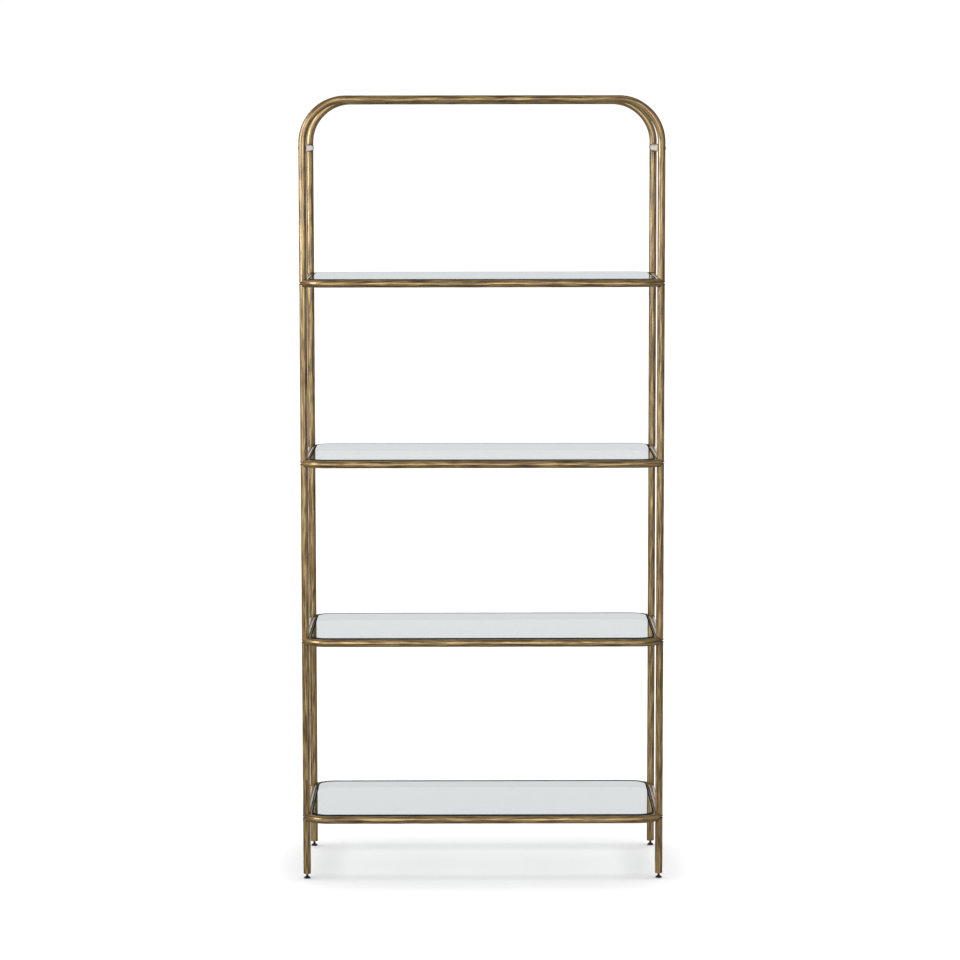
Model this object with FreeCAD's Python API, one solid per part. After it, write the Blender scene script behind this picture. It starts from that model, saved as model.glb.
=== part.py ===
import FreeCAD, Part
import math
import os

# Open etagere: two bent-tube arches and stacked posts carry four closed shelf frames of the same
# round tube. A glass shelf lies inset in each frame and the legs end in levelling feet.
#
# Millimetres. X runs from left to right, Y from front to back and Z up. The origin is on the floor
# at the middle of the base. "Height" is measured from the floor, and a tube's height or place is
# that of its centreline.

# ---------------------------------------------------------------- driving dimensions

# Overall sizes, over the outside of the tubes
overall_width = 914.0
overall_depth = 485.0

# Tube stock, used for every tube
tube_diameter = 19.0
tube_wall = 1.5

# Shelf frames
lowest_frame_height = 158.0
frame_pitch = 452.0
frame_count = 4
frame_bend_radius = 57.0        # at the centreline
post_past_bend_start = 18.0     # how far round the corner bend a post stands, along Y

# Arches and spreaders
top_bay_height = 466.0          # from the top frame's centreline to the top of the arches
arch_bend_radius = 108.0        # at the centreline
spreader_below_bend = 13.5      # from the start of the arch bend down to the spreader

# Welded ends
weld_gap = 0.25                 # root gap between a coped end and the tube it is welded to
cope_trim = 3.0                 # the thin points of a cope stop this far from the crossed centreline
drain_diameter = 5.0            # vent and drain hole under the rear rail of each frame

# Glass shelves
glass_thickness = 6.0
glass_side_gap = 2.0            # between the glass edge and the frame tube
glass_above_frame = 1.5         # glass top above the top of the frame tube
glass_arris = 0.8               # flat ground on each edge

# Tabs and bumpers that carry the glass
tab_length = 22.0               # along the tube
tab_thickness = 3.0
tab_reach = 15.0                # from the tube's inner side to the tab's tip
bumper_diameter = 10.0
bumper_thickness = 1.5
bumper_from_tip = 6.0           # from the tab's tip to the bumper's centre

# Levelling feet
leg_end_height = 12.5
insert_length = 16.0
press_clearance = 0.03          # insert in the leg's bore, on the radius
thread_diameter = 5.0
thread_clearance = 0.05         # on the radius
thread_length = 24.0            # above the shoulder
shoulder_width = 0.4            # of the neck beyond the thread, on the radius
pad_diameter = 16.4
pad_edge_height = 2.4           # top of the pad's upright rim
pad_height = 5.6
pad_crown_diameter = 8.4        # at the top of the pad's cone
pad_rim_bevel = 1.0
pivot_diameter = 4.6            # swivel end of the stem, inside the pad
pivot_floor = 1.6               # pad left under the swivel end
pivot_clearance = 0.05

# ---------------------------------------------------------------- derived places

tube_radius = tube_diameter / 2
bore_radius = tube_radius - tube_wall
side_x = overall_width / 2 - tube_radius
rail_y = overall_depth / 2 - tube_radius
post_y = rail_y - frame_bend_radius + post_past_bend_start
frame_heights = [lowest_frame_height + level * frame_pitch for level in range(frame_count)]
top_frame_height = frame_heights[-1]
arch_top_height = top_frame_height + top_bay_height - tube_radius
spreader_height = arch_top_height - arch_bend_radius - spreader_below_bend
glass_bottom = tube_radius + glass_above_frame - glass_thickness
tab_top = glass_bottom - bumper_thickness

# The four corners, by name: (name, side of X, side of Y)
corners = [
    ("front_left", -1, -1),
    ("front_right", 1, -1),
    ("rear_left", -1, 1),
    ("rear_right", 1, 1),
]

Vector = FreeCAD.Vector
UP = Vector(0, 0, 1)
BACK = Vector(0, 1, 0)


# ---------------------------------------------------------------- helpers

def round_bar(radius, start, end):
    """A solid cylinder from one point to another."""
    run = end - start
    return Part.makeCylinder(radius, run.Length, start, run)


def corner_arc(before, corner, after, radius):
    """The arc of a bend, tangent to the runs that meet at right angles at a corner."""
    into = (corner - before).normalize()
    out_of = (after - corner).normalize()
    centre = corner - into * radius + out_of * radius
    middle = centre + (into - out_of) * (radius / math.sqrt(2))
    return Part.Arc(corner - into * radius, middle, corner + out_of * radius).toShape()


def bent_path(points, radius, closed=False):
    """Straight runs between points with the same bend radius at each corner."""
    count = len(points)
    bends = []
    for place in range(count):
        if closed or 0 < place < count - 1:
            before = points[place - 1]
            after = points[(place + 1) % count]
            bends.append(corner_arc(before, points[place], after, radius))
    edges = []
    if not closed:
        edges.append(Part.LineSegment(points[0], bends[0].firstVertex().Point).toShape())
    for place, bend in enumerate(bends):
        edges.append(bend)
        if closed or place < len(bends) - 1:
            following = bends[(place + 1) % len(bends)]
            run = Part.LineSegment(bend.lastVertex().Point, following.firstVertex().Point)
            edges.append(run.toShape())
    if not closed:
        edges.append(Part.LineSegment(bends[-1].lastVertex().Point, points[-1]).toShape())
    return edges


def bar_along(edges, radius):
    """A solid round bar along a path, one cylinder or torus piece to each edge."""
    pieces = []
    for edge in edges:
        start = edge.valueAt(edge.FirstParameter)
        heading = edge.tangentAt(edge.FirstParameter)
        section = Part.Face(Part.Wire(Part.makeCircle(radius, start, heading)))
        if edge.Curve.TypeId == "Part::GeomCircle":
            turn = math.degrees(edge.LastParameter - edge.FirstParameter)
            pieces.append(section.revolve(edge.Curve.Center, edge.Curve.Axis, turn))
        else:
            pieces.append(section.extrude(edge.valueAt(edge.LastParameter) - start))
    return pieces[0].fuse(pieces[1:]).removeSplitter().Solids[0]


def tube_along(edges):
    """The tube stock bent along a path."""
    return bar_along(edges, tube_radius).cut(bar_along(edges, bore_radius)).Solids[0]


def straight_tube(start, end):
    """A straight length of the tube stock."""
    return round_bar(tube_radius, start, end).cut(round_bar(bore_radius, start, end))


def save(node, shape):
    """Write one sub-part."""
    shape.exportStep("parts/" + node + ".step")
    print(node, len(shape.Solids), "solid(s)", round(shape.Volume), "mm3")


# ---------------------------------------------------------------- shelf frames

def frame_path():
    """The closed centreline of a shelf frame at height zero."""
    outline = [
        Vector(-side_x, -rail_y, 0),
        Vector(side_x, -rail_y, 0),
        Vector(side_x, rail_y, 0),
        Vector(-side_x, rail_y, 0),
    ]
    return bent_path(outline, frame_bend_radius, closed=True)


def post_point(side, row, height):
    """A point on the axis of the post at one corner."""
    return Vector(side * side_x, row * post_y, height)


def drained_frame():
    """A shelf frame at height zero, with a hole under its rear rail that vents the closed bore."""
    rear_rail = Vector(0, rail_y, 0)
    drill = round_bar(drain_diameter / 2, rear_rail - UP * tube_diameter, rear_rail)
    return tube_along(frame_path()).cut(drill).Solids[0]


# ---------------------------------------------------------------- posts, legs and arches

# What a coped end is cut back to: the frame tube and the weld's root gap around it
frame_cope = bar_along(frame_path(), tube_radius + weld_gap)


def cope_to_frames(tube, levels):
    """Cut a tube's ends to saddle over, or under, the frames at the given levels."""
    cutters = [frame_cope.translated(UP * frame_heights[level]) for level in levels]
    return tube.cut(cutters).Solids[0]


def post_segment(side, row, level):
    """The post between one frame and the next one up, coped at both ends."""
    bottom = frame_heights[level] + cope_trim
    top = frame_heights[level + 1] - cope_trim
    tube = straight_tube(post_point(side, row, bottom), post_point(side, row, top))
    return cope_to_frames(tube, [level, level + 1])


def leg(side, row):
    """The leg under the lowest frame, coped at the top and square at the bottom."""
    top = lowest_frame_height - cope_trim
    tube = straight_tube(post_point(side, row, leg_end_height), post_point(side, row, top))
    return cope_to_frames(tube, [0])


def arch(row):
    """One tube from the top frame up, across and down again, coped at both ends."""
    foot = top_frame_height + cope_trim
    outline = [
        post_point(-1, row, foot),
        post_point(-1, row, arch_top_height),
        post_point(1, row, arch_top_height),
        post_point(1, row, foot),
    ]
    return cope_to_frames(tube_along(bent_path(outline, arch_bend_radius)), [frame_count - 1])


def spreader(side):
    """The tube between the two arches on one side, coped to their legs."""
    reach = BACK * (post_y - cope_trim)
    middle = Vector(side * side_x, 0, spreader_height)
    tube = straight_tube(middle - reach, middle + reach)
    cutters = []
    for row in (-1, 1):
        low = post_point(side, row, spreader_height - tube_diameter)
        high = post_point(side, row, spreader_height + tube_diameter)
        cutters.append(round_bar(tube_radius + weld_gap, low, high))
    return tube.cut(cutters).Solids[0]


# ---------------------------------------------------------------- glass, tabs and bumpers

def glass_shelf():
    """The pane at its place in a frame at height zero, with rounded corners and flat-ground edges."""
    inset = tube_radius + glass_side_gap
    half_width = side_x - inset
    half_depth = rail_y - inset
    outline = [
        Vector(-half_width, -half_depth, glass_bottom),
        Vector(half_width, -half_depth, glass_bottom),
        Vector(half_width, half_depth, glass_bottom),
        Vector(-half_width, half_depth, glass_bottom),
    ]
    edge = Part.Wire(bent_path(outline, frame_bend_radius - inset, closed=True))
    pane = Part.Face(edge).extrude(UP * glass_thickness)
    rims = [rim for rim in pane.Edges if rim.BoundBox.ZLength < glass_arris]
    return pane.makeChamfer(glass_arris, rims)


# Where the tabs stand on a frame: (point on the centreline, direction in towards the glass)
tab_places = []
for row in (-1, 1):
    for side in (-1, 1):
        tab_places.append((Vector(side * side_x / 2, row * rail_y, 0), Vector(0, -row, 0)))
for side in (-1, 1):
    tab_places.append((Vector(side * side_x, 0, 0), Vector(-side, 0, 0)))


def tab_tip(place):
    """The middle of a tab's tip, on its top face."""
    point, inward = place
    return point + inward * (tube_radius + tab_reach) + UP * tab_top


def support_tab(place):
    """A flat lug with a rounded tip, its root coped to the frame tube."""
    point, inward = place
    tip = tab_tip(place)
    along = inward.cross(UP) * (tab_length / 2)
    root = point + UP * tab_top
    shoulder = tip - inward * (tab_length / 2)
    outline = [
        Part.LineSegment(root + along, shoulder + along).toShape(),
        Part.Arc(shoulder + along, tip, shoulder - along).toShape(),
        Part.LineSegment(shoulder - along, root - along).toShape(),
        Part.LineSegment(root - along, root + along).toShape(),
    ]
    return Part.Face(Part.Wire(outline)).extrude(UP * -tab_thickness).cut(frame_cope)


def bumper(place):
    """The clear disc on a tab, which the glass rests on."""
    centre = tab_tip(place) - place[1] * bumper_from_tip
    return Part.makeCylinder(bumper_diameter / 2, bumper_thickness, centre, UP)


# ---------------------------------------------------------------- levelling feet

def leg_insert(side, row):
    """The threaded plug pressed into a leg, flush with the leg's end."""
    low = post_point(side, row, leg_end_height)
    high = low + UP * insert_length
    plug = round_bar(bore_radius - press_clearance, low, high)
    return plug.cut(round_bar(thread_diameter / 2 + thread_clearance, low, high))


def levelling_stem(side, row):
    """The screw: thread, neck with a shoulder under the insert, and swivel end in the pad."""
    pivot_low = post_point(side, row, pivot_floor)
    neck_low = post_point(side, row, pad_height)
    shoulder = post_point(side, row, leg_end_height)
    pivot = round_bar(pivot_diameter / 2, pivot_low, neck_low)
    neck = round_bar(thread_diameter / 2 + shoulder_width, neck_low, shoulder)
    thread = round_bar(thread_diameter / 2, shoulder, shoulder + UP * thread_length)
    return pivot.fuse([neck, thread]).removeSplitter()


def levelling_pad(side, row):
    """The moulded pad: a turned disc with a bevelled rim, a conical top and a blind swivel socket."""
    socket = pivot_diameter / 2 + pivot_clearance
    outer = pad_diameter / 2
    crown = pad_crown_diameter / 2
    profile = Part.makePolygon([
        Vector(0, 0, 0),
        Vector(outer - pad_rim_bevel, 0, 0),
        Vector(outer, 0, pad_rim_bevel),
        Vector(outer, 0, pad_edge_height),
        Vector(crown, 0, pad_height),
        Vector(socket, 0, pad_height),
        Vector(socket, 0, pivot_floor),
        Vector(0, 0, pivot_floor),
        Vector(0, 0, 0),
    ])
    turned = Part.Face(profile).revolve(Vector(0, 0, 0), UP, 360)
    return turned.translated(post_point(side, row, 0))


# ---------------------------------------------------------------- the whole etagere

os.makedirs("parts", exist_ok=True)

frame_master = drained_frame()
glass_master = glass_shelf()
tabs_master = Part.Compound([support_tab(place) for place in tab_places])
bumpers_master = Part.Compound([bumper(place) for place in tab_places])

for level, height in enumerate(frame_heights):
    number = str(level + 1)
    save("shelf_frame_" + number, frame_master.translated(UP * height))
    save("glass_shelf_" + number, glass_master.translated(UP * height))
    save("support_tabs_" + number, tabs_master.translated(UP * height))
    save("bumper_pads_" + number, bumpers_master.translated(UP * height))

for name, side, row in corners:
    for level in range(frame_count - 1):
        save(name + "_post_" + str(level + 1), post_segment(side, row, level))
    save(name + "_leg", leg(side, row))
    save(name + "_leg_insert", leg_insert(side, row))
    save(name + "_levelling_stem", levelling_stem(side, row))
    save(name + "_levelling_pad", levelling_pad(side, row))

save("front_arch", arch(-1))
save("rear_arch", arch(1))
save("left_spreader", spreader(-1))
save("right_spreader", spreader(1))
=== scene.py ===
# %% [markdown]
# # An etagere in aged brass and clear glass
#
# The real piece is a tall open shelving unit. Two arches, four closed shelf frames, the posts
# between them and the legs are all one size of round brass-finished tube, welded where they meet.
# A clear glass shelf lies in each frame and the legs stand on small black levelling feet.
#
# The CAD model gives every size. What Blender adds is the look: tube worked and brushed by hand,
# weld beads, glass with a green ground edge, screw threads, turned feet and a soft light.

import math

import bpy
import numpy as np
from mathutils import Matrix, Vector, noise


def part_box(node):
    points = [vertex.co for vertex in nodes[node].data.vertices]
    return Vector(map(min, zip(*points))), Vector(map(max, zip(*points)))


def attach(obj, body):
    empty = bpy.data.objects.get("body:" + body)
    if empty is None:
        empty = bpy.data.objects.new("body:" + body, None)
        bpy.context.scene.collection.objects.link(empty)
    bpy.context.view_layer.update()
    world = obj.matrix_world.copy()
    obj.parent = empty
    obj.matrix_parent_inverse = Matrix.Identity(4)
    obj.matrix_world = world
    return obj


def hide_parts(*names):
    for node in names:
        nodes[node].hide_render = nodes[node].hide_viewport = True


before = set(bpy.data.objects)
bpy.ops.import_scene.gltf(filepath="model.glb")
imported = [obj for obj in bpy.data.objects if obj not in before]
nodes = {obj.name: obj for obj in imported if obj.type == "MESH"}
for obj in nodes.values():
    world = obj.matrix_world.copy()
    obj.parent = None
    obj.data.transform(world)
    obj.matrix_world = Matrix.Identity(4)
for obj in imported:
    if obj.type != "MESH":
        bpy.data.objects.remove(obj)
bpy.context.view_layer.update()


def rounded(sizes):
    """Sizes short enough to print."""
    return [round(size, 4) for size in sizes]


# %% [markdown]
# ## The places that everything hangs on
#
# A maker's drawing starts with centrelines. Each one here is read from the box of a CAD node: the
# shelf frames give the tube's radius and the heights, and a post gives the four corners. What a
# box can't tell, such as the radius of a bend, is written down where it is first needed.

# %% Centrelines and levels
LEVELS = 4

frame_boxes = [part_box(f"shelf_frame_{level + 1}") for level in range(LEVELS)]
heights = [(low.z + high.z) / 2 for low, high in frame_boxes]
frame_low, frame_high = frame_boxes[0]
tube_radius = (frame_high.z - frame_low.z) / 2
side_x = frame_high.x - tube_radius
rail_y = frame_high.y - tube_radius
post_low, post_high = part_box("rear_right_post_1")
post_y = (post_low.y + post_high.y) / 2
corners = {
    "front_left": (-side_x, -post_y),
    "front_right": (side_x, -post_y),
    "rear_left": (-side_x, post_y),
    "rear_right": (side_x, post_y),
}
print("tube radius", round(tube_radius, 5), "levels", rounded(heights))
print("corners", corners)

# %% [markdown]
# ## Small helpers for working by hand
#
# Blender's operators act on all that is selected, so each piece starts with nothing selected. What
# repeats is made once and copied, and each copy has its own mesh, so that it can be fitted where
# it stands.

# %% Selecting and copying pieces
def nothing_selected():
    bpy.ops.object.select_all(action="DESELECT")


def only(piece):
    """Makes this the one selected, active object."""
    nothing_selected()
    piece.select_set(True)
    bpy.context.view_layer.objects.active = piece


def named(piece, name):
    piece.name = name
    piece.data.name = name
    return piece


def another(master, name):
    """A copy of a piece, with its own mesh."""
    piece = master.copy()
    piece.data = master.data.copy()
    bpy.context.collection.objects.link(piece)
    return named(piece, name)


nothing_selected()
print("selected:", len(bpy.context.selected_objects))

# %% [markdown]
# A finished piece keeps its object at the origin, with its place in its mesh. So a copy is moved by
# moving its vertices, which are read as rows because rows can be moved all at once.

# %% Moving a mesh and choosing parts of it
def places_of(piece):
    """The vertices of a mesh as rows of x, y, z."""
    flat = np.empty(len(piece.data.vertices) * 3)
    piece.data.vertices.foreach_get("co", flat)
    return flat.reshape(-1, 3)


def put_places(piece, places):
    piece.data.vertices.foreach_set("co", np.ascontiguousarray(places).ravel())
    piece.data.update()


def move_mesh(piece, by):
    put_places(piece, places_of(piece) + np.array(by))


def choose(piece, kind, chosen):
    """Selects these vertices, edges or faces alone, and stays in edit mode."""
    only(piece)
    bpy.ops.object.mode_set(mode="EDIT")
    bpy.ops.mesh.select_mode(type=kind)
    bpy.ops.mesh.select_all(action="DESELECT")
    bpy.ops.object.mode_set(mode="OBJECT")
    mesh = piece.data
    parts = {"VERT": mesh.vertices, "EDGE": mesh.edges, "FACE": mesh.polygons}[kind]
    for number in chosen:
        parts[number].select = True
    bpy.ops.object.mode_set(mode="EDIT")


def face_outwards(piece):
    only(piece)
    bpy.ops.object.mode_set(mode="EDIT")
    bpy.ops.mesh.select_all(action="SELECT")
    bpy.ops.mesh.normals_make_consistent(inside=False)
    bpy.ops.object.mode_set(mode="OBJECT")


def smooth_below(piece, degrees):
    """Shades a piece smooth, and keeps the edges that are sharper than this."""
    only(piece)
    bpy.ops.object.shade_smooth_by_angle(angle=math.radians(degrees))


print("a CAD pane has", len(places_of(nodes["glass_shelf_1"])), "vertices")

# %% [markdown]
# ## Drawing tube
#
# Real tube is drawn through a die and bent round a former. The same can be done here: a ring is
# extruded along each straight run and spun round each bend. The runs are drawn in short steps, so
# that the tube can be worked all along its length. Each run and bend is also noted down, so that
# the brushed grain can follow it later.

# %% A ring, a run and a bend
AROUND = 32
RING_STEP = 0.0075
SAME_PLACE = 1e-5


def start_ring(name, centre, rotation):
    """A ring of the tube's size, left in edit mode with all of it selected."""
    nothing_selected()
    bpy.ops.mesh.primitive_circle_add(
        vertices=AROUND, radius=tube_radius, location=centre, rotation=rotation)
    piece = named(bpy.context.object, name)
    bpy.ops.object.transform_apply(location=True, rotation=True, scale=True)
    bpy.ops.object.mode_set(mode="EDIT")
    bpy.ops.mesh.select_all(action="SELECT")
    return piece


def draw_run(way, start, end):
    """Extrudes the selected ring from start to end, and notes the run."""
    start, end = Vector(start), Vector(end)
    whole = end - start
    steps = max(1, round(whole.length / RING_STEP))
    for _ in range(steps):
        bpy.ops.mesh.extrude_region_move(TRANSFORM_OT_translate={"value": whole / steps})
    way.append(("run", np.array(start), np.array(whole.normalized()), whole.length))
    return end


def draw_bend(way, start, centre, axis, angle):
    """Spins the selected ring round a bend, and notes the bend."""
    start, centre, axis = Vector(start), Vector(centre), Vector(axis)
    arm = start - centre
    steps = round(arm.length * abs(angle) / RING_STEP)
    bpy.ops.mesh.spin(steps=steps, angle=-angle, center=centre, axis=axis)
    way.append(("bend", np.array(centre), np.array(axis), np.array(arm / arm.length),
                arm.length, angle))
    return centre + Matrix.Rotation(angle, 3, axis) @ arm


def end_drawing(closed=False):
    """Joins the last ring to the first, or leaves both ends open."""
    bpy.ops.mesh.select_all(action="SELECT")
    if closed:
        bpy.ops.mesh.remove_doubles(threshold=SAME_PLACE)
    bpy.ops.mesh.normals_make_consistent(inside=False)
    bpy.ops.object.mode_set(mode="OBJECT")


print("rings of", AROUND, "corners, about", RING_STEP, "m apart")

# %% [markdown]
# The grain of brushed tube runs along it, round the bends too, where plain object coordinates can't
# follow. The notes of runs and bends give the nearest point of the centreline, and from that the
# distance along the tube and the angle round its section.

# %% Finding a place along the tube
CLEARLY = 1e-7
REARWARD = (0, 1, 0)


def along_and_around(places, way, flat):
    """The distance along and angle round the tube. flat is square to all its bends."""
    flat = np.array(flat, float)
    nearest = np.full(len(places), np.inf)
    along = np.zeros(len(places))
    around = np.zeros(len(places))
    begun = 0.0
    for kind, *facts in way:
        if kind == "run":
            start, heading, length = facts
            travel = np.clip((places - start) @ heading, 0, length)
            centre = start + travel[:, None] * heading
            headings = np.broadcast_to(heading, places.shape)
        else:
            hub, axis, first, radius, angle = facts
            turn = axis * np.sign(angle)
            arm = places - hub
            second = np.cross(turn, first)
            turned = np.clip(np.arctan2(arm @ second, arm @ first), 0, abs(angle))
            spoke = np.cos(turned)[:, None] * first + np.sin(turned)[:, None] * second
            centre = hub + radius * spoke
            headings = np.cross(turn, spoke)
            travel, length = radius * turned, radius * abs(angle)
        off = places - centre
        apart = np.linalg.norm(off, axis=1)
        closer = apart < nearest - CLEARLY
        side = np.cross(flat, headings)
        angle_round = np.arctan2(off @ flat, np.einsum("ij,ij->i", off, side))
        nearest[closer] = apart[closer]
        along[closer] = begun + travel[closer]
        around[closer] = angle_round[closer]
        begun += length
    return along, around, begun


metre = [("run", np.zeros(3), np.array([0, 0, 1]), 1.0)]
print("along, around:", along_and_around(np.array([[0, tube_radius, 0.25]]), metre, REARWARD)[:2])

# %% [markdown]
# Every face corner stores three numbers: two for the place on the round section and one for the
# distance along the tube. Face corners are used rather than vertices, so that a closed frame can
# start again at its seam without a smear.

# %% Storing the grain
def store_grain(piece, way, flat, closed=False):
    mesh = piece.data
    along, around, whole = along_and_around(places_of(piece), way, flat)
    corner = np.empty(len(mesh.loops), int)
    mesh.loops.foreach_get("vertex_index", corner)
    distance = along[corner]
    if closed:
        first = np.empty(len(mesh.polygons), int)
        mesh.polygons.foreach_get("loop_start", first)
        most = np.maximum.reduceat(distance, first)
        sides = np.diff(np.append(first, len(corner)))
        behind = np.repeat(most, sides) - distance > whole / 2
        distance = distance + behind * whole
    grain = np.stack([tube_radius * np.cos(around[corner]),
                      tube_radius * np.sin(around[corner]), distance], axis=1)
    stored = mesh.attributes.new("grain", "FLOAT_VECTOR", "CORNER")
    stored.data.foreach_set("vector", grain.ravel())
    print(piece.name, "is", round(whole, 3), "m of tube")


def shift_grain(piece, by):
    """Starts this piece further along the pattern, so that no two tubes look alike."""
    stored = piece.data.attributes["grain"].data
    grain = np.empty(len(stored) * 3)
    stored.foreach_get("vector", grain)
    grain = grain.reshape(-1, 3)
    grain[:, 2] += by
    stored.foreach_set("vector", grain.ravel())


# %% [markdown]
# ## The shelf frame
#
# The real frame is one tube bent at four corners and closed with a weld. The ring starts on the
# rear rail, goes round the four bends and comes back, and is merged with the first ring, so that
# no seam is left.

# %% Bend one shelf frame
FRAME_BEND = 0.057
UP = (0, 0, 1)
QUARTER = math.pi / 2

hub_x, hub_y = side_x - FRAME_BEND, rail_y - FRAME_BEND
quarters = [
    ((hub_x, rail_y, 0), (hub_x, hub_y, 0)),
    ((side_x, -hub_y, 0), (hub_x, -hub_y, 0)),
    ((-hub_x, -rail_y, 0), (-hub_x, -hub_y, 0)),
    ((-side_x, hub_y, 0), (-hub_x, hub_y, 0)),
]
way = []
at = (-hub_x, rail_y, 0)
frame_master = start_ring("frame_master", at, (0, QUARTER, 0))
for run_end, hub in quarters:
    at = draw_run(way, at, run_end)
    at = draw_bend(way, at, hub, UP, -QUARTER)
end_drawing(closed=True)
store_grain(frame_master, way, UP, closed=True)
print("frame:", len(frame_master.data.vertices), "vertices", rounded(frame_master.dimensions))

# %% [markdown]
# A small hole under the rear rail lets the closed tube drain. A cylinder stands through the wall
# like a drill, and a Boolean modifier cuts it out, which keeps the hole round in a curved wall.

# %% Drill the drain hole
DRAIN_RADIUS = 0.0025
DRAIN_DEPTH = 0.006
DRILL_AROUND = 24

nothing_selected()
bpy.ops.mesh.primitive_cylinder_add(
    vertices=DRILL_AROUND, radius=DRAIN_RADIUS, depth=2 * DRAIN_DEPTH,
    location=(0, rail_y, -tube_radius))
drill = named(bpy.context.object, "drill")
bpy.ops.object.transform_apply(location=True, rotation=True, scale=True)
only(frame_master)
cut = frame_master.modifiers.new("drain", "BOOLEAN")
cut.object = drill
cut.operation = "DIFFERENCE"
bpy.ops.object.modifier_apply(modifier=cut.name)
bpy.data.objects.remove(drill)
print("frame with its drain hole:", len(frame_master.data.vertices), "vertices")

# %% [markdown]
# ## Posts, legs, arches and spreaders
#
# Each of these ends on another tube of the same size. A fitter files such an end to a saddle, a
# cope, so that it sits on the round. A Boolean could cut it, but leaves long thin faces. Here the
# last ring of each end is pulled onto the saddle, one vertex at a time, with the height of the
# tube that it lands on. The posts stand on the bent part of a frame, so its bend counts too.

# %% The saddle of one tube on another
COPE_TRIM = 0.003


def rise(off):
    """How far a tube's surface stands from its axis, this far off to the side of it."""
    return np.sqrt(np.maximum(tube_radius ** 2 - off ** 2, COPE_TRIM ** 2))


def frame_rise(x, y):
    """The same over a shelf frame, at this place."""
    x, y = np.abs(x), np.abs(y)
    on_bend = np.hypot(x - hub_x, y - hub_y) - FRAME_BEND
    return rise(np.where(y > hub_y, on_bend, x - side_x))


def ring_at(places, axis, value):
    return np.abs(places[:, axis] - value) < SAME_PLACE


def close_end(piece, ring):
    """Closes an open end with a fan of faces."""
    choose(piece, "VERT", np.flatnonzero(ring))
    bpy.ops.mesh.edge_face_add()
    bpy.ops.mesh.poke()
    bpy.ops.object.mode_set(mode="OBJECT")


print("rise under a post's axis, m:", float(frame_rise(side_x, post_y)))

# %% [markdown]
# The twelve posts are alike, so one is drawn, a little too short for its gap, and copied. Each
# copy is then seated where it stands: its end rings are pulled out onto the two frames and closed.

# %% Draw one post and copy it to its twelve places
CLEAR_OF_SADDLE = 0.002


def straight_tube(name, length):
    """A straight tube from height zero up, its end rings still open."""
    way = []
    piece = start_ring(name, (0, 0, 0), (0, 0, 0))
    draw_run(way, (0, 0, 0), (0, 0, length))
    end_drawing()
    store_grain(piece, way, REARWARD)
    return piece


def seat_on_frames(piece, below=None, above=None):
    """Pulls the lowest ring onto the frame below and the highest ring under the frame above."""
    places = places_of(piece)
    ends = [(places[:, 2].min(), below, 1), (places[:, 2].max(), above, -1)]
    rings = []
    for end, level, upward in ends:
        if level is not None:
            ring = ring_at(places, 2, end)
            places[ring, 2] = level + upward * frame_rise(places[ring, 0], places[ring, 1])
            rings.append(ring)
    put_places(piece, places)
    for ring in rings:
        close_end(piece, ring)
    face_outwards(piece)


gap = heights[1] - heights[0]
post_master = straight_tube("post_master", gap - 2 * (tube_radius + CLEAR_OF_SADDLE))
tubes = []
for corner, (x, y) in corners.items():
    for level in range(LEVELS - 1):
        node = f"{corner}_post_{level + 1}"
        post = another(post_master, node + "_tube")
        move_mesh(post, (x, y, heights[level] + tube_radius + CLEAR_OF_SADDLE))
        seat_on_frames(post, heights[level], heights[level + 1])
        tubes.append((post, [node]))
bpy.data.objects.remove(post_master)
print("posts:", len(tubes), "each", len(tubes[0][0].data.vertices), "vertices")

# %% [markdown]
# A leg has a saddle at the top only. Its lower end is cut square and shows the tube's wall round a
# threaded insert, so that end is closed flat, inset by the wall and pushed up to make its pocket.

# %% Draw one leg and copy it to the corners
TUBE_WALL = 0.0015
POCKET_DEPTH = 0.0175

leg_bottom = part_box("front_left_leg")[0].z
leg_top = heights[0] - tube_radius - CLEAR_OF_SADDLE
leg_master = straight_tube("leg_master", leg_top - leg_bottom)
close_end(leg_master, ring_at(places_of(leg_master), 2, 0.0))
bpy.ops.object.mode_set(mode="EDIT")
bpy.ops.mesh.dissolve_faces()
bpy.ops.mesh.inset(thickness=TUBE_WALL, depth=0)
bpy.ops.mesh.extrude_region_move(TRANSFORM_OT_translate={"value": (0, 0, POCKET_DEPTH)})
bpy.ops.object.mode_set(mode="OBJECT")
for corner, (x, y) in corners.items():
    node = f"{corner}_leg"
    leg = another(leg_master, node + "_tube")
    move_mesh(leg, (x, y, leg_bottom))
    seat_on_frames(leg, above=heights[0])
    tubes.append((leg, [node]))
bpy.data.objects.remove(leg_master)
print("leg:", rounded(tubes[-1][0].dimensions))

# %% [markdown]
# An arch is one long tube: up from the top frame, round a wide bend, across, round and down. The
# rear one is a copy, because the two are alike.

# %% Bend one arch and copy it
ARCH_BEND = 0.108

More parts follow.
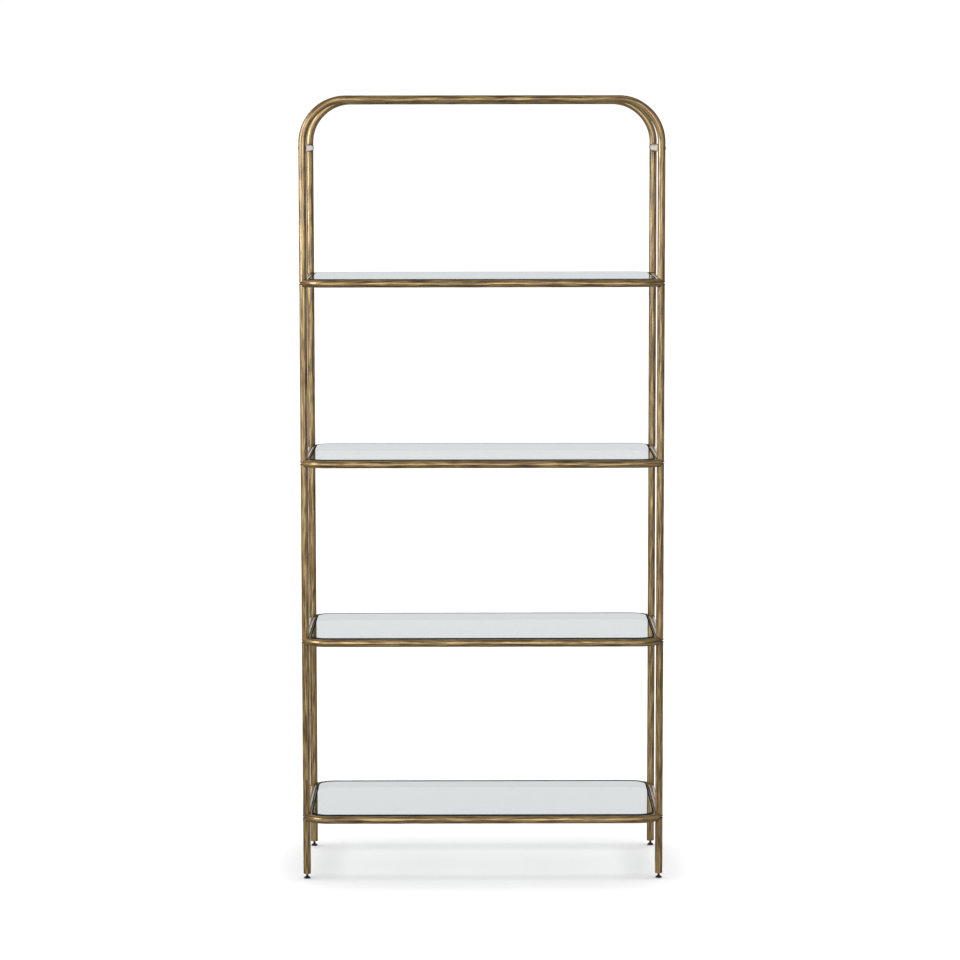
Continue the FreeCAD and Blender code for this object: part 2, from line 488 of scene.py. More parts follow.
arch_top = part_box("front_arch")[1].z - tube_radius
arch_foot = heights[-1] + tube_radius + CLEAR_OF_SADDLE
bend_x, bend_z = side_x - ARCH_BEND, arch_top - ARCH_BEND
way = []
at = (-side_x, -post_y, arch_foot)
front_arch = start_ring("front_arch_tube", at, (0, 0, 0))
at = draw_run(way, at, (-side_x, -post_y, bend_z))
at = draw_bend(way, at, (-bend_x, -post_y, bend_z), REARWARD, QUARTER)
at = draw_run(way, at, (bend_x, -post_y, arch_top))
at = draw_bend(way, at, (bend_x, -post_y, bend_z), REARWARD, QUARTER)
draw_run(way, at, (side_x, -post_y, arch_foot))
end_drawing()
store_grain(front_arch, way, REARWARD)
rear_arch = another(front_arch, "rear_arch_tube")
move_mesh(rear_arch, (0, 2 * post_y, 0))
for arch, node in ((front_arch, "front_arch"), (rear_arch, "rear_arch")):
    places = places_of(arch)
    feet = ring_at(places, 2, places[:, 2].min())
    places[feet, 2] = heights[-1] + frame_rise(places[feet, 0], places[feet, 1])
    put_places(arch, places)
    close_end(arch, feet & (places[:, 0] < 0))
    close_end(arch, feet & (places[:, 0] > 0))
    face_outwards(arch)
    tubes.append((arch, [node]))
print("arch:", rounded(front_arch.dimensions))

# %% [markdown]
# The two spreaders run from front to back and keep the arches apart. They land on upright tubes, so
# their saddles are the round of a straight tube. The frames need no fitting, because they are what
# the others land on, so they are only copied to their levels.

# %% Draw the spreaders and set the frames
spreader_low, spreader_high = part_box("left_spreader")
spreader_z = (spreader_low.z + spreader_high.z) / 2
spreader_length = 2 * (post_y - tube_radius - CLEAR_OF_SADDLE)
spreaders = {"left_spreader": -side_x, "right_spreader": side_x}

for node, x in spreaders.items():
    way = []
    start = Vector((x, -spreader_length / 2, spreader_z))
    spreader = start_ring(node + "_tube", start, (QUARTER, 0, 0))
    draw_run(way, start, start + Vector((0, spreader_length, 0)))
    end_drawing()
    store_grain(spreader, way, UP)
    for row in (-1, 1):
        places = places_of(spreader)
        ring = ring_at(places, 1, row * spreader_length / 2)
        places[ring, 1] = row * (post_y - rise(places[ring, 0] - x))
        put_places(spreader, places)
        close_end(spreader, ring)
    face_outwards(spreader)
    tubes.append((spreader, [node]))
for level, height in enumerate(heights):
    node = f"shelf_frame_{level + 1}"
    shelf_frame = another(frame_master, node + "_tube")
    move_mesh(shelf_frame, (0, 0, height))
    tubes.append((shelf_frame, [node]))
bpy.data.objects.remove(frame_master)
print("tube pieces:", len(tubes))

# %% [markdown]
# ## Working the tube by hand
#
# The real tube isn't quite straight or round: it was hammered and dressed lightly, so its outline
# wavers by a few tenths of a millimetre every few centimetres. Two Displace modifiers with cloud
# textures do this, one slow and one quick. They read object coordinates, so there is no seam.

# %% Dress the tubes
DRESSING = {"slow_dressing": (0.040, 0.0006), "quick_dressing": (0.013, 0.0002)}
GRAIN_JUMP = 3.17
TUBE_CREASE = 50


def cloud(name, size):
    texture = bpy.data.textures.new(name, "CLOUDS")
    texture.noise_scale = size
    texture.noise_depth = 1
    return texture


dressing = [(cloud(name, size), depth) for name, (size, depth) in DRESSING.items()]
for number, (tube, _) in enumerate(tubes):
    only(tube)
    for texture, depth in dressing:
        dress = tube.modifiers.new(texture.name, "DISPLACE")
        dress.texture = texture
        dress.texture_coords = "LOCAL"
        dress.strength = depth
        dress.mid_level = 0.5
        bpy.ops.object.modifier_apply(modifier=dress.name)
    smooth_below(tube, TUBE_CREASE)
    shift_grain(tube, number * GRAIN_JUMP)
print("dressed", len(tubes), "tubes")

# %% [markdown]
# ## Weld beads
#
# Every joint of tube to tube has a small bead of filler round it. A torus is the master, because
# it is a ring already. Its centre line and the swell round it are kept apart, so that each copy
# can take the line of its own joint.

# %% Make the master bead
BEAD_RADIUS = 0.0013
BEAD_AROUND, BEAD_SIDES = 56, 10

nothing_selected()
bpy.ops.mesh.primitive_torus_add(
    major_segments=BEAD_AROUND, minor_segments=BEAD_SIDES,
    major_radius=tube_radius, minor_radius=BEAD_RADIUS)
bead_master = named(bpy.context.object, "bead_master")
torus_places = places_of(bead_master)
spoke = torus_places[:, :2] / np.linalg.norm(torus_places[:, :2], axis=1)[:, None]
ring_line = np.column_stack([spoke * tube_radius, np.zeros(len(spoke))])
swell = torus_places - ring_line
print("bead:", len(torus_places), "vertices", rounded(bead_master.dimensions))

# %% [markdown]
# Each copy is bent to the saddle of its joint and made lumpy with noise, because no weld is even.
# A spreader's beads stand upright, so their y and z change places. That mirrors the mesh, and its
# faces are turned outwards again.

# %% Lay the beads
BEAD_LUMPS = 0.35
BEAD_GRAIN = 420
BEAD_LIFT = 0.0002
BEAD_CREASE = 60
UPRIGHT = [0, 2, 1]


def lay_bead(name, line, swell):
    """A bead along this line, lumpy with noise."""
    lumps = [noise.noise(Vector(place) * BEAD_GRAIN) for place in line]
    thickness = (1 + BEAD_LUMPS * np.array(lumps))[:, None]
    bead = another(bead_master, name)
    put_places(bead, line + swell * thickness)
    return bead


beads = []
for corner, (x, y) in corners.items():
    for level, height in enumerate(heights):
        for where, upward in (("over", 1), ("under", -1)):
            line = ring_line + np.array([x, y, 0])
            line[:, 2] = height + upward * (frame_rise(line[:, 0], line[:, 1]) + BEAD_LIFT)
            beads.append(lay_bead(f"{corner}_weld_{where}_frame_{level + 1}", line, swell))
for node, x in spreaders.items():
    for where, row in (("front", -1), ("rear", 1)):
        line = ring_line[:, UPRIGHT] + np.array([x, 0, spreader_z])
        line[:, 1] = row * (post_y - rise(line[:, 0] - x) - BEAD_LIFT)
        beads.append(lay_bead(f"{node}_{where}_weld", line, swell[:, UPRIGHT]))
        face_outwards(beads[-1])
for bead in beads:
    smooth_below(bead, BEAD_CREASE)
bpy.data.objects.remove(bead_master)
print("weld beads:", len(beads))

# %% [markdown]
# ## Glass shelves
#
# A pane is cut with rounded corners and its sharp edges are ground to a small flat, the arris. A
# plane gets its corners rounded with a vertex bevel and is extruded. Then all of its edges are
# beveled at once, because that grinds the rims alike and makes the corners rounder.

# %% Cut one pane and grind its edges
PANE_CORNER = 0.0455
CORNER_STEPS = 14
ARRIS = 0.0008
ARRIS_STEPS = 2

pane_low, pane_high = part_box("glass_shelf_1")
pane_size = pane_high - pane_low
nothing_selected()
bpy.ops.mesh.primitive_plane_add(size=1, location=(0, 0, pane_low.z))
pane_master = named(bpy.context.object, "pane_master")
pane_master.scale = (pane_size.x, pane_size.y, 1)
bpy.ops.object.transform_apply(location=True, rotation=True, scale=True)
bpy.ops.object.mode_set(mode="EDIT")
bpy.ops.mesh.select_all(action="SELECT")
bpy.ops.mesh.bevel(offset=PANE_CORNER, segments=CORNER_STEPS, affect="VERTICES", profile=0.5)
bpy.ops.mesh.select_all(action="SELECT")
bpy.ops.mesh.extrude_region_move(TRANSFORM_OT_translate={"value": (0, 0, pane_size.z)})
bpy.ops.mesh.select_all(action="SELECT")
bpy.ops.mesh.bevel(
    offset=ARRIS, offset_type="WIDTH", segments=ARRIS_STEPS, affect="EDGES", profile=0.5)
bpy.ops.object.mode_set(mode="OBJECT")
face_outwards(pane_master)
print("pane:", len(pane_master.data.vertices), "vertices", rounded(pane_master.dimensions))

# %% [markdown]
# In the real pane the green ground sides show through the top as a dark line round the rim. Light
# bent inside glass is slow to work out, so a narrow strip is inset round the top as a painted dark
# line in place of it. It is wider along the rear, because that side is seen through more glass.

# %% Inset the strip and copy the pane
RIM = 0.0035
REAR_RIM = 0.0090
LEVEL_ENOUGH = 0.99

tops = [face.index for face in pane_master.data.polygons if face.normal.z > LEVEL_ENOUGH]
choose(pane_master, "FACE", tops)
bpy.ops.mesh.inset(thickness=RIM, depth=0)
bpy.ops.object.mode_set(mode="OBJECT")
inner = next(face for face in pane_master.data.polygons if face.select)
for index in inner.vertices:
    place = pane_master.data.vertices[index].co
    if place.y > 0:
        place.y -= REAR_RIM - RIM

panes = []
for level, height in enumerate(heights):
    pane = another(pane_master, f"glass_pane_{level + 1}")
    move_mesh(pane, (0, 0, height - heights[0]))
    panes.append(pane)
bpy.data.objects.remove(pane_master)
print("panes:", len(panes), rounded(panes[0].dimensions))

# %% [markdown]
# ## Levelling feet
#
# The pad is moulded nylon: a low dish with a rounded rim, a conical top and a socket for the
# stem. It is drawn as a turner would cut it, ring by ring, each ring extruded and then scaled,
# because a turned shape is told best by its radius at each height.

# %% Turn one pad and copy it
PAD_PROFILE = [
    (0.0066, 0.0), (0.0074, 0.0001), (0.00795, 0.0005), (0.0082, 0.0011), (0.0082, 0.0018),
    (0.00805, 0.0023), (0.0076, 0.0028), (0.0060, 0.0041), (0.0047, 0.0051), (0.0042, 0.0055),
    (0.0037, 0.0056), (0.00245, 0.0056), (0.00235, 0.0054), (0.00235, 0.0016),
]
FOOT_AROUND = 40
FOOT_CREASE = 40


def turned(name, profile):
    """A turned solid from (radius, height) pairs, closed at both ends."""
    nothing_selected()
    radius, height = profile[0]
    bpy.ops.mesh.primitive_circle_add(
        vertices=FOOT_AROUND, radius=radius, fill_type="TRIFAN", location=(0, 0, height))
    piece = named(bpy.context.object, name)
    bpy.ops.object.transform_apply(location=True, rotation=True, scale=True)
    bpy.ops.object.mode_set(mode="EDIT")
    bpy.ops.mesh.select_all(action="SELECT")
    bpy.ops.mesh.region_to_loop()
    for (radius, height), (wider, higher) in zip(profile, profile[1:]):
        bpy.ops.mesh.extrude_edges_move(
            TRANSFORM_OT_translate={"value": (0, 0, higher - height)})
        bpy.ops.transform.resize(value=(wider / radius, wider / radius, 1),
                                 center_override=(0, 0, 0))
    bpy.ops.mesh.edge_face_add()
    bpy.ops.mesh.poke()
    bpy.ops.object.mode_set(mode="OBJECT")
    face_outwards(piece)
    return piece


def at_the_corners(master, ending):
    """Copies a foot's piece to the four corners."""
    copies = []
    for corner, (x, y) in corners.items():
        piece = another(master, corner + ending)
        move_mesh(piece, (x, y, 0))
        copies.append((piece, corner))
    bpy.data.objects.remove(master)
    return copies


pad_master = turned("pad_master", PAD_PROFILE)
smooth_below(pad_master, FOOT_CREASE)
pads = at_the_corners(pad_master, "_pad_turned")
print("pad:", rounded(pads[0][0].dimensions))

# %% [markdown]
# The stem is a black steel screw: a pin in the pad's socket, a thicker neck with chamfered rims,
# and a thread that goes up into the leg. It is turned as a plain blank first. A hair's gap keeps
# it clear of the pad, because the two turn on each other.

# %% Turn the blank of the stem
PIN_RADIUS = 0.0023
THREAD_RADIUS = 0.0025
CHAMFER = 0.0002
THREAD_START = 0.0005
POINT = 0.0006
TURNING_GAP = 0.00004

stem_low, stem_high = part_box("front_left_levelling_stem")
pad_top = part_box("front_left_levelling_pad")[1].z
neck_radius = (stem_high.x - stem_low.x) / 2
stem_profile = [
    (PIN_RADIUS - CHAMFER, stem_low.z + TURNING_GAP), (PIN_RADIUS, stem_low.z + CHAMFER),
    (PIN_RADIUS, pad_top + TURNING_GAP), (neck_radius - CHAMFER, pad_top + TURNING_GAP),
    (neck_radius, pad_top + CHAMFER), (neck_radius, leg_bottom - CHAMFER),
    (neck_radius - CHAMFER, leg_bottom), (THREAD_RADIUS, leg_bottom),
    (THREAD_RADIUS, leg_bottom + THREAD_START), (THREAD_RADIUS, stem_high.z - POINT),
    (THREAD_RADIUS - POINT, stem_high.z),
]
stem_master = turned("stem_master", stem_profile)
print("stem blank:", len(stem_master.data.vertices), "vertices")

# %% [markdown]
# The thread only shows when a foot is screwed down. The long edges of the blank are cut into short
# ones, and each vertex is moved inwards with a wave that climbs one pitch in each turn. A separate
# helix could lie on the blank, but this keeps the stem one solid.

# %% Cut the thread and copy the stem
THREAD_PITCH = 0.0008
THREAD_DEPTH = 0.00045
THREAD_CUTS = 96
LONG_EDGE = 0.01
RUN_IN = 0.0001
ON_THE_AXIS = 1e-6

levels = places_of(stem_master)[:, 2]
long_edges = [edge.index for edge in stem_master.data.edges
              if np.ptp(levels[list(edge.vertices)]) > LONG_EDGE]
choose(stem_master, "EDGE", long_edges)
bpy.ops.mesh.subdivide(number_cuts=THREAD_CUTS)
bpy.ops.object.mode_set(mode="OBJECT")
places = places_of(stem_master)
reach = np.hypot(places[:, 0], places[:, 1])
turn = np.arctan2(places[:, 1], places[:, 0]) / (2 * math.pi)
climb = (places[:, 2] / THREAD_PITCH - turn) % 1
groove = THREAD_DEPTH * 0.5 * (1 + np.cos(2 * math.pi * climb))
low_end, high_end = leg_bottom + THREAD_START + RUN_IN, stem_high.z - POINT - RUN_IN
fade = np.clip((places[:, 2] - low_end) / THREAD_PITCH, 0, 1) * (places[:, 2] < high_end)
cut_in = groove * fade * (np.abs(reach - THREAD_RADIUS) < SAME_PLACE)
places[:, :2] *= (1 - cut_in / np.maximum(reach, ON_THE_AXIS))[:, None]
put_places(stem_master, places)
smooth_below(stem_master, FOOT_CREASE)
stems = at_the_corners(stem_master, "_stem_screw")
print("stem:", len(places), "vertices", rounded(stems[0][0].dimensions))

# %% [markdown]
# ## Finishes
#
# A material is a set of nodes. One helper adds a node, sets its numbers and links what comes before
# it, and the others do what many recipes need, so that a recipe reads like a list. All patterns
# are noise, because it fits any shape and has no edge.

# %% Helpers for node recipes
def recipe(name):
    material = bpy.data.materials.new(name)
    material.use_nodes = True
    material.node_tree.nodes.clear()
    return material, material.node_tree


def socket_of(node, name):
    """An input by its name, with _ for a space, or by its number, such as _6."""
    if name[1:].isdigit():
        return node.inputs[int(name[1:])]
    return node.inputs[name.replace("_", " ")]


def add(tree, kind, settings=None, **links):
    """A node with its settings, and its inputs: a number, a colour or a link for each."""
    node = tree.nodes.new(kind)
    for key, value in (settings or {}).items():
        setattr(node, key, value)
    for key, value in links.items():
        if isinstance(value, bpy.types.NodeSocket):
            tree.links.new(value, socket_of(node, key))
        else:
            socket_of(node, key).default_value = value
    return node


def on_the_piece(tree):
    """Places in the piece's own metres."""
    return add(tree, "ShaderNodeTexCoord").outputs["Object"]


def noise_at(tree, places, scale, **more):
    return add(tree, "ShaderNodeTexNoise", Vector=places, Scale=scale, **more).outputs["Fac"]


def ramp(tree, factor, stops):
    """A colour ramp from (place, colour) stops."""
    node = add(tree, "ShaderNodeValToRGB", Fac=factor)
    band = node.color_ramp
    while len(band.elements) < len(stops):
        band.elements.new(0.5)
    for element, (place, colour) in zip(band.elements, stops):
        element.position = place
        element.color = (*colour, 1)
    return node.outputs["Color"]


def span(tree, value, taken, given):
    """Takes a value from one range to another, and no further."""
    node = add(tree, "ShaderNodeMapRange", Value=value)
    for place, number in enumerate((*taken, *given), start=1):
        node.inputs[place].default_value = number
    return node.outputs["Result"]


def mixed(tree, share, under, over, way="MIX"):
    """Lays a share of one colour over another."""
    node = add(tree, "ShaderNodeMix", {"data_type": "RGBA", "blend_type": way},
               _0=share, _6=under, _7=over)
    return node.outputs[2]


def shown(tree, shader):
    """Puts the last shader of a recipe on the surface."""
    add(tree, "ShaderNodeOutputMaterial", Surface=shader.outputs[0])


print("materials so far:", len(bpy.data.materials))

# %% [markdown]
# ### Aged brass
#
# The tube has a streaky antique finish: long soft marks of cream, tan, olive and brown, with warm
# patches, thin rubbed lines and thin brown stains over them. Each is a colour laid over the last
# where a noise of its own size is high or low, as a finisher works in layers.

# %% Mix the streaks
BRASS_TONES = [
    (0.30, (0.120, 0.070, 0.022)),
    (0.42, (0.250, 0.154, 0.046)),
    (0.52, (0.400, 0.258, 0.088)),
    (0.62, (0.550, 0.380, 0.148)),
    (0.74, (0.780, 0.610, 0.330)),
]
WARM_BROWN = (0.36, 0.195, 0.085, 1)
RUBBED_BRASS = (0.74, 0.55, 0.26, 1)
BROWN_STAIN = (0.090, 0.045, 0.016, 1)


def streaked(tree, marks, long_marks, thin_marks, dark):
    """The streaky colour. dark pushes its tones towards the deep ones."""
    tone = ramp(tree, marks, [(place + dark, colour) for place, colour in BRASS_TONES])
    patches = noise_at(tree, long_marks, 60.0, Detail=1.0, Roughness=0.5)
    warm = span(tree, patches, (0.55, 0.72), (0.0, 0.45))
    warmed = mixed(tree, warm, tone, WARM_BROWN)
    lines = noise_at(tree, thin_marks, 400.0, Detail=1.5, Roughness=0.5, Distortion=0.3)
    worn = span(tree, lines, (0.45, 0.35), (0.0, 0.6))
    rubbed = mixed(tree, worn, warmed, RUBBED_BRASS)
    stained = span(tree, lines, (0.54, 0.62), (0.0, 0.8))
    return mixed(tree, stained, rubbed, BROWN_STAIN)


print("brass tones:", len(BRASS_TONES))

# %% [markdown]
# Fine brushing lies over the streaks. All of it runs along the tube, so it reads the stored
# grain, whose third number is squeezed: that stretches every mark along the tube. Tabs and welds
# have no grain, so they read object coordinates. Welds are darker all over: painted shade that
# stands in for the shade in the creases round each joint. A thin coat gives the lacquer's shine.

# %% Brush and lacquer the brass
SQUEEZES = (0.07, 0.038, 0.03)
SCUFFED = [(0.36, (0.52, 0.47, 0.40)), (0.56, (1.0, 1.0, 1.0))]
SCUFF_SHARE = 0.55
DARK_EDGE = (0.36, 0.28, 0.2, 1)


def aged_brass(name, grain, dark=0.0):
    """Streaky antique brass, brushed and lacquered."""
    material, tree = recipe(name)
    if grain:
        place = add(tree, "ShaderNodeAttribute", {"attribute_name": "grain"}).outputs["Vector"]
    else:
        place = on_the_piece(tree)
    long_marks, thin_marks, brushing = [
        add(tree, "ShaderNodeMapping", Vector=place, Scale=(1, 1, squeeze)).outputs[0]
        for squeeze in (SQUEEZES if grain else (1, 1, 1))]
    marks = noise_at(tree, long_marks, 215.0, Detail=3.0, Roughness=0.55, Distortion=0.5)
    colour = streaked(tree, marks, long_marks, thin_marks, dark)
    hair = noise_at(tree, brushing, 900.0, Detail=2.0, Roughness=0.6)
    scuffs = ramp(tree, hair, SCUFFED)
    brushed = mixed(tree, SCUFF_SHARE, colour, scuffs, "MULTIPLY")
    rough = span(tree, marks, (0.3, 0.7), (0.52, 0.38))
    bump = add(tree, "ShaderNodeBump", Height=hair, Strength=0.26, Distance=0.0002)
    dents = add(tree, "ShaderNodeBump", Height=marks, Strength=0.35, Distance=0.0008,
                Normal=bump.outputs[0])
    shader = add(tree, "ShaderNodeBsdfPrincipled", Base_Color=brushed, Metallic=0.76,
                 Roughness=rough, Normal=dents.outputs[0], Coat_Weight=0.8,
                 Coat_Roughness=0.14, Coat_IOR=1.6, Specular_Tint=DARK_EDGE)
    shown(tree, shader)
    return material


tube_brass = aged_brass("aged_brass_tube", grain=True)
tab_brass = aged_brass("aged_brass_tab", grain=False)
# dark=0.16 darkens the whole bead: painted shade for the creases round each weld.
weld_brass_painted_shade = aged_brass("weld_brass_painted_shade", grain=False, dark=0.16)
print("nodes in the tube's brass:", len(tube_brass.node_tree.nodes))

# %% [markdown]
# ### Glass
#
# A flat pane bends light so little that it can be shown as what it does: it lets most light
# through with a slight green tint, and mirrors the rest, more and more towards a grazing view.
# Only the face that light meets first mirrors. The strip round the top is the same glass with a
# deep tint, so it shows as a dark line, the darker the flatter the view.

# %% Mix the clear glass and its rim
MIRROR_TINT = (0.668, 0.691, 0.704, 1)
SHADOW_TINT = (0.955, 0.957, 0.957, 1)


def clear_glass(name, straight, slanting, mirrored):
    """Glass with a tint for a straight view and one for a slanting view, and its most mirroring."""
    material, tree = recipe(name)
    facing = add(tree, "ShaderNodeLayerWeight", Blend=0.5).outputs["Facing"]
    slant = span(tree, facing, (0.1, 0.8), (0.0, 1.0))
    tint = mixed(tree, slant, (*straight, 1), (*slanting, 1))
    through = add(tree, "ShaderNodeBsdfTransparent", Color=tint)
    mirror = add(tree, "ShaderNodeBsdfGlossy", Color=MIRROR_TINT, Roughness=0.04)
    graze = span(tree, facing, (0.56, 0.80), (0.06, mirrored))
    back = add(tree, "ShaderNodeNewGeometry").outputs["Backfacing"]
    front = add(tree, "ShaderNodeMath", {"operation": "SUBTRACT"}, _0=1.0, _1=back).outputs[0]
    share = add(tree, "ShaderNodeMath", {"operation": "MULTIPLY"}, _0=graze, _1=front).outputs[0]
    both = add(tree, "ShaderNodeMixShader", _0=share, _1=through.outputs[0], _2=mirror.outputs[0])
    shade = add(tree, "ShaderNodeBsdfTransparent", Color=SHADOW_TINT)
    shadow = add(tree, "ShaderNodeLightPath").outputs["Is Shadow Ray"]
    either = add(tree, "ShaderNodeMixShader", _0=shadow, _1=both.outputs[0], _2=shade.outputs[0])
    shown(tree, either)
    return material


pane_glass = clear_glass("clear_glass", straight=(0.95, 0.968, 0.962),
                         slanting=(0.92, 0.95, 0.94), mirrored=0.94)
# The rim's deep tint is a painted dark line for the light bent in the ground edge.
painted_rim_glass = clear_glass("glass_rim", straight=(0.62, 0.74, 0.70),
                        slanting=(0.004, 0.010, 0.008), mirrored=0.03)
print("glass:", pane_glass.name, painted_rim_glass.name)

# %% [markdown]
# The ground sides are matt and nearly opaque, since they are seen through the whole width of the
# pane, where even clear glass is dark green. A very fine noise is the mark of the grinding wheel.

# %% Mix the ground edge
def ground_edge():
    material, tree = recipe("ground_glass_edge")
    place = on_the_piece(tree)
    cloudy = noise_at(tree, place, 70.0, Detail=2.0)
    tone = ramp(tree, cloudy, [(0.3, (0.006, 0.016, 0.013)), (0.7, (0.020, 0.050, 0.040))])
    ground = noise_at(tree, place, 2500.0, Detail=1.0)
    bump = add(tree, "ShaderNodeBump", Height=ground, Strength=0.2, Distance=0.00005)
    rough = span(tree, ground, (0.3, 0.7), (0.25, 0.4))
    shader = add(tree, "ShaderNodeBsdfPrincipled", Base_Color=tone, Roughness=rough,
                 Normal=bump.outputs[0])
    shown(tree, shader)
    return material


edge_glass = ground_edge()
print("edge:", edge_glass.name)

# %% [markdown]
# ### Nylon, black steel, zinc and vinyl
#
# The small parts have quiet finishes, but none is one flat colour: moulded nylon has a faint
# grain, blackened steel is uneven, and zinc plating is cloudy. One recipe serves them all, because
# they differ only in their two close tones, their grain and their shine.

# %% Mix the small finishes
def speckled(name, dark, light, grain, roughness, **more):
    """A finish with two close tones, a fine bump and an uneven shine."""
    material, tree = recipe(name)
    cloudy = noise_at(tree, on_the_piece(tree), grain, Detail=3.0)
    tone = ramp(tree, cloudy, [(0.35, dark), (0.65, light)])
    rough = span(tree, cloudy, (0.3, 0.7), roughness)
    bump = add(tree, "ShaderNodeBump", Height=cloudy, Strength=0.15, Distance=0.0001)
    shader = add(tree, "ShaderNodeBsdfPrincipled", Base_Color=tone, Roughness=rough,
                 Normal=bump.outputs[0], **more)
    shown(tree, shader)
    return material


nylon = speckled("moulded_nylon", dark=(0.006, 0.006, 0.006), light=(0.014, 0.014, 0.015),
                 grain=900.0, roughness=(0.35, 0.5))
black_steel = speckled("black_steel", dark=(0.008, 0.008, 0.009), light=(0.022, 0.021, 0.02),
                       grain=1200.0, roughness=(0.3, 0.45), Metallic=0.4)
zinc = speckled("zinc_plate", dark=(0.42, 0.42, 0.43), light=(0.62, 0.62, 0.6),
                grain=500.0, roughness=(0.25, 0.4), Metallic=1.0)
vinyl = speckled("clear_vinyl", dark=(0.70, 0.73, 0.73), light=(0.84, 0.86, 0.86),
                 grain=300.0, roughness=(0.15, 0.3), Alpha=0.45)
print("materials now:", len(bpy.data.materials))

# %% [markdown]
# ## Putting it together
#
# Every piece gets its finish and rides on the body that carries it, so that it moves as that body
# does, and the CAD nodes that it stands for are hidden. The weld beads are new. A pane's faces are
# told apart by slant and size: the wide ones are clear, the strip is rim and the rest is ground.
# Tabs, bumpers and inserts have their real shape in the CAD, so only their finish is changed.

# %% Finish and place every piece
WIDE_FACE = 0.1


def finish_piece(piece, material, body, replaced=()):
    piece.data.materials.clear()
    piece.data.materials.append(material)
    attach(piece, body)
    if replaced:
        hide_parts(*replaced)


for tube, stands_for in tubes:
    finish_piece(tube, tube_brass, "frame", stands_for)
for bead in beads:
    finish_piece(bead, weld_brass_painted_shade, "frame")
for level, pane in enumerate(panes):
    node = f"glass_shelf_{level + 1}"
    finish_piece(pane, pane_glass, f"glass_{level + 1}", [node])
    pane.data.materials.append(edge_glass)
    pane.data.materials.append(painted_rim_glass)
    for face in pane.data.polygons:
        flat, wide = abs(face.normal.z) > LEVEL_ENOUGH, face.area > WIDE_FACE
        face.material_index = 0 if wide else 2 if flat else 1
for pad, corner in pads:
    finish_piece(pad, nylon, f"{corner}_pad", [f"{corner}_levelling_pad"])
for stem, corner in stems:
    finish_piece(stem, black_steel, f"{corner}_stem", [f"{corner}_levelling_stem"])


def refinish(node, material):
    mesh = nodes[node].data
    if not mesh.materials:
        mesh.materials.append(material)
    for place in range(len(mesh.materials)):
        mesh.materials[place] = material


for level in range(LEVELS):
    refinish(f"support_tabs_{level + 1}", tab_brass)
    refinish(f"bumper_pads_{level + 1}", vinyl)
for corner in corners:
    refinish(f"{corner}_leg_insert", zinc)

# %% [markdown]
# ## Floor, light and camera
#
# The piece stands on a pale floor in front of a white card that just fills the view. The rest of
# the studio is dim, because a white room would fill the dark edges of the round tube with light.
# The card glows a little more in its lower part.

# %% Lay the floor and stand the card
CARD_AWAY = 12.0
CARD_WIDE, CARD_HIGH = 6.6, 5.0
FLOOR_WIDE = 60


def pale_floor():
    material, tree = recipe("pale_floor")
    mottle = noise_at(tree, on_the_piece(tree), 2.0, Detail=2.0)
    tone = ramp(tree, mottle, [(0.3, (0.90, 0.90, 0.90)), (0.7, (0.92, 0.92, 0.92))])
    shown(tree, add(tree, "ShaderNodeBsdfPrincipled", Base_Color=tone, Roughness=0.9))
    return material


def white_card():
    material, tree = recipe("white_card")
    height = add(tree, "ShaderNodeSeparateXYZ", Vector=on_the_piece(tree)).outputs["Y"]
    fall = span(tree, height, (-0.12, 0.04), (1.12, 1.02))
    shown(tree, add(tree, "ShaderNodeEmission", Color=(1, 1, 1, 1), Strength=fall))
    return material


nothing_selected()
bpy.ops.mesh.primitive_plane_add(size=FLOOR_WIDE, location=(0, CARD_AWAY - FLOOR_WIDE / 2, 0))
floor = named(bpy.context.object, "floor")
floor.data.materials.append(pale_floor())
floor.visible_glossy = False
floor.visible_diffuse = False
nothing_selected()
bpy.ops.mesh.primitive_plane_add(
    size=1, location=(0, CARD_AWAY, CARD_HIGH / 2), rotation=(QUARTER, 0, 0))
card = named(bpy.context.object, "backdrop")
card.scale = (CARD_WIDE, CARD_HIGH, 1)
card.data.materials.append(white_card())
print("card:", rounded(card.scale), "m")

# %% [markdown]
# Clear glass looks clear only where it has something pale to mirror, so a ring of white cloth
# hangs round the whole set. It is see-through and adds its glow to what lies behind it. Light
# linking, below, lets only the glass pick up its light.

# %% Hang the white cloth
CLOTH_AWAY = 14.0
CLOTH_LOW, CLOTH_HIGH = -5.0, 12.0
CLOTH_AROUND = 96
CLOTH_GLOW = 0.72


def white_cloth():
    material, tree = recipe("white_cloth")
    glow = add(tree, "ShaderNodeEmission", Color=(1, 1, 1, 1), Strength=CLOTH_GLOW)
    clear = add(tree, "ShaderNodeBsdfTransparent", Color=(1, 1, 1, 1))
    shown(tree, add(tree, "ShaderNodeAddShader", _0=glow.outputs[0], _1=clear.outputs[0]))
    return material


nothing_selected()
bpy.ops.mesh.primitive_cylinder_add(
    vertices=CLOTH_AROUND, radius=CLOTH_AWAY, depth=CLOTH_HIGH - CLOTH_LOW,
    end_fill_type="NOTHING", location=(0, 0, (CLOTH_LOW + CLOTH_HIGH) / 2))
cloth = named(bpy.context.object, "white_cloth")
cloth.data.materials.append(white_cloth())
print("cloth:", rounded(cloth.dimensions))

# %% [markdown]
# A broad light from above makes the soft shadow under the shelves. A large box in front lights
# the tubes, and one from the front left draws their shine. All are large, because small lights
# would leave hard spots.

# %% Hang the lights
OVERHEAD_TILT, OVERHEAD_SPREAD = -4, 60


def lamp(name, kind, energy, rotation, place=(0, 0, 3), **settings):
    light = bpy.data.lights.new(name, kind)
    light.energy = energy
    for key, value in settings.items():
        setattr(light, key, value)
    holder = bpy.data.objects.new(name, light)
    bpy.context.collection.objects.link(holder)
    holder.location = place
    holder.rotation_euler = rotation
    return holder


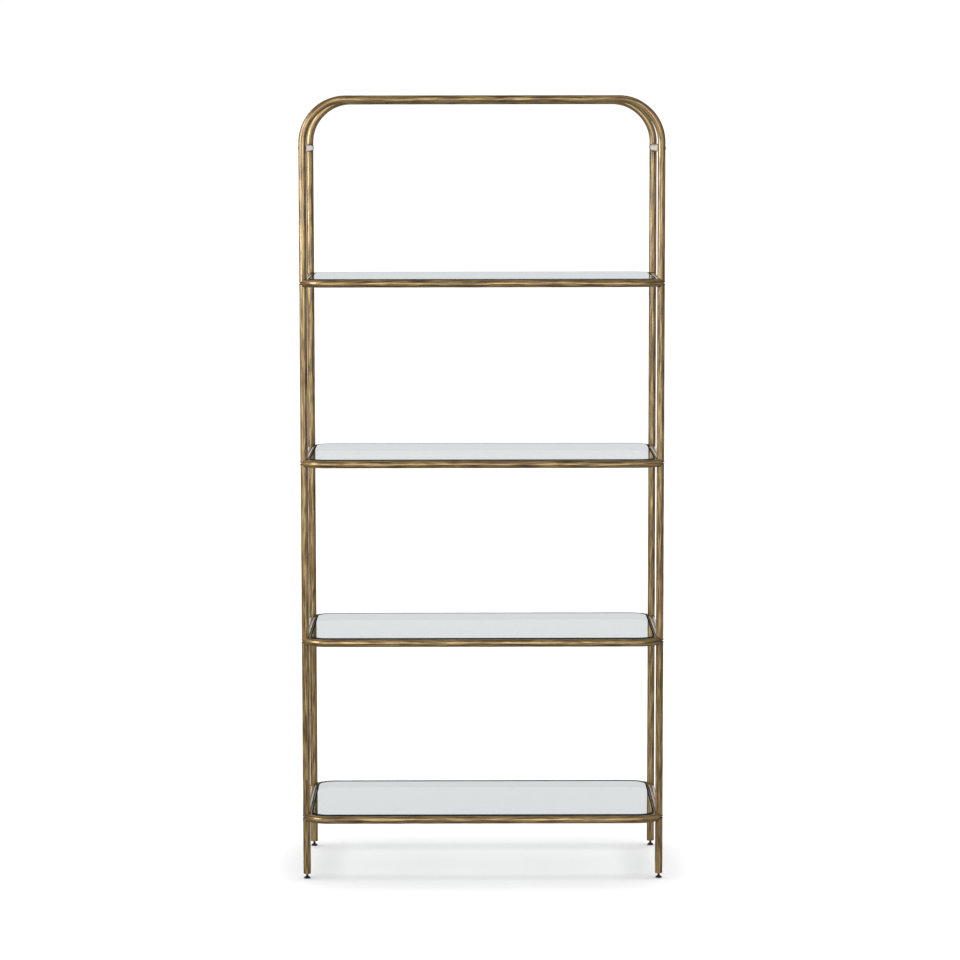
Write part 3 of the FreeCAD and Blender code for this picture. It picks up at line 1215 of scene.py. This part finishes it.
def soft_box(name, energy, place, target, wide, high):
    """A rectangular light that faces its target and isn't seen itself."""
    facing = (Vector(target) - Vector(place)).to_track_quat("-Z", "Y").to_euler()
    box = lamp(name, "AREA", energy, facing, place, shape="RECTANGLE", size=wide, size_y=high)
    box.visible_camera = False
    return box


overhead = lamp("overhead", "SUN", energy=3.2, rotation=(math.radians(OVERHEAD_TILT), 0, 0),
                angle=math.radians(OVERHEAD_SPREAD))
left_box = soft_box("left_box", energy=76.0, place=(-2.9, -1.6, 2.4), target=(0, 0, 1.5),
                    wide=1.6, high=2.2)
front_box = soft_box("front_box", energy=93.0, place=(0.2, -4.8, 1.9), target=(0, 0, 1.2),
                     wide=5.0, high=3.0)
print("lights:", len(bpy.data.lights))

# %% [markdown]
# A studio hangs flags so that a light reaches only what it should, and light linking does the
# same. The sun is for the floor alone, the cloth for the glass alone, and the two boxes for all
# the rest. A dim grey world gives the brass its dark edges.

# %% Flag the lights and dim the studio
STUDIO_GREY = (0.32, 0.32, 0.325, 1)


def flag(light, way, pieces):
    """Lets a light reach these pieces alone, or everything but these pieces."""
    group = bpy.data.collections.new(light.name + "_flag")
    for place, piece in enumerate(pieces):
        group.objects.link(piece)
        group.collection_objects[place].light_linking.link_state = way
    light.light_linking.receiver_collection = group


flag(overhead, "INCLUDE", [floor])
flag(cloth, "INCLUDE", panes)
for box in (left_box, front_box):
    flag(box, "EXCLUDE", [floor, *panes])
world = bpy.data.worlds.new("dim_studio")
world.use_nodes = True
world.node_tree.nodes["Background"].inputs["Color"].default_value = STUDIO_GREY
bpy.context.scene.world = world
bpy.context.scene.view_settings.view_transform = "Standard"
print("lights flagged, world:", world.name)

# %% [markdown]
# The camera stands well back with a long lens, so that the upright tubes stay nearly parallel. It
# is above the top shelf and looks slightly down, because that shows the top of every pane.

# %% Set up the camera
CAMERA_PLACE = (-0.02746, -8.41156, 1.88106)
CAMERA_DOWN = 0.10456
CAMERA_RIGHT = 0.00261
CAMERA_ROLL = -0.00144
SENSOR_WIDTH = 36.0
LENS = 123.187

camera_data = bpy.data.cameras.new("camera")
camera_data.sensor_width = SENSOR_WIDTH
camera_data.lens = LENS
camera = bpy.data.objects.new("camera", camera_data)
bpy.context.collection.objects.link(camera)
camera.matrix_world = (
    Matrix.Translation(CAMERA_PLACE)
    @ Matrix.Rotation(-CAMERA_RIGHT, 4, "Z")
    @ Matrix.Rotation(QUARTER - CAMERA_DOWN, 4, "X")
    @ Matrix.Rotation(CAMERA_ROLL, 4, "Z"))
bpy.context.scene.camera = camera
print("field of view, degrees:", round(math.degrees(camera_data.angle), 2))
